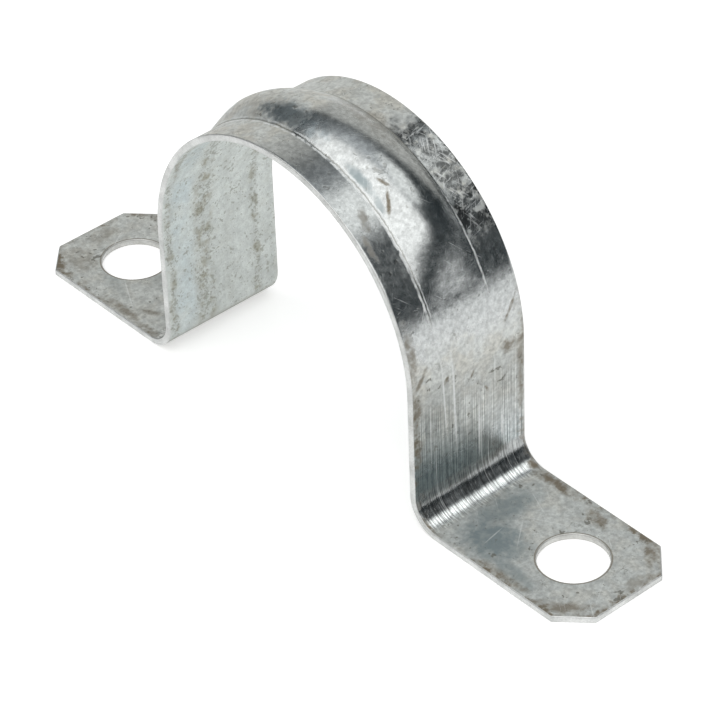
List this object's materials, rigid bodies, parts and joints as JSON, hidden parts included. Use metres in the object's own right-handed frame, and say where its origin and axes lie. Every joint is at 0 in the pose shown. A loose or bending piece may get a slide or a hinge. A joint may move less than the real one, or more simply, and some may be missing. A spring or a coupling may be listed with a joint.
{
  "type": "two-hole conduit strap",
  "caption": "Galvanised sheet steel strap, folded into a ribbed half-round arch over a pipe, with a flat foot and a round screw hole on each side.",
  "frame": {"origin": "on the mounting surface, under the crown, midway between the two feet and across the strip", "axes": "+X along the strap from foot to foot, +Y along the pipe's axis, +Z away from the mounting surface"},
  "size_m": [0.1118, 0.02, 0.049],
  "materials": {
    "galvanised_steel": "weathered zinc coating, satin with rubbed bright patches"
  },
  "bodies": {
    "root": {"strap": "galvanised_steel"}
  },
  "joints": []
}
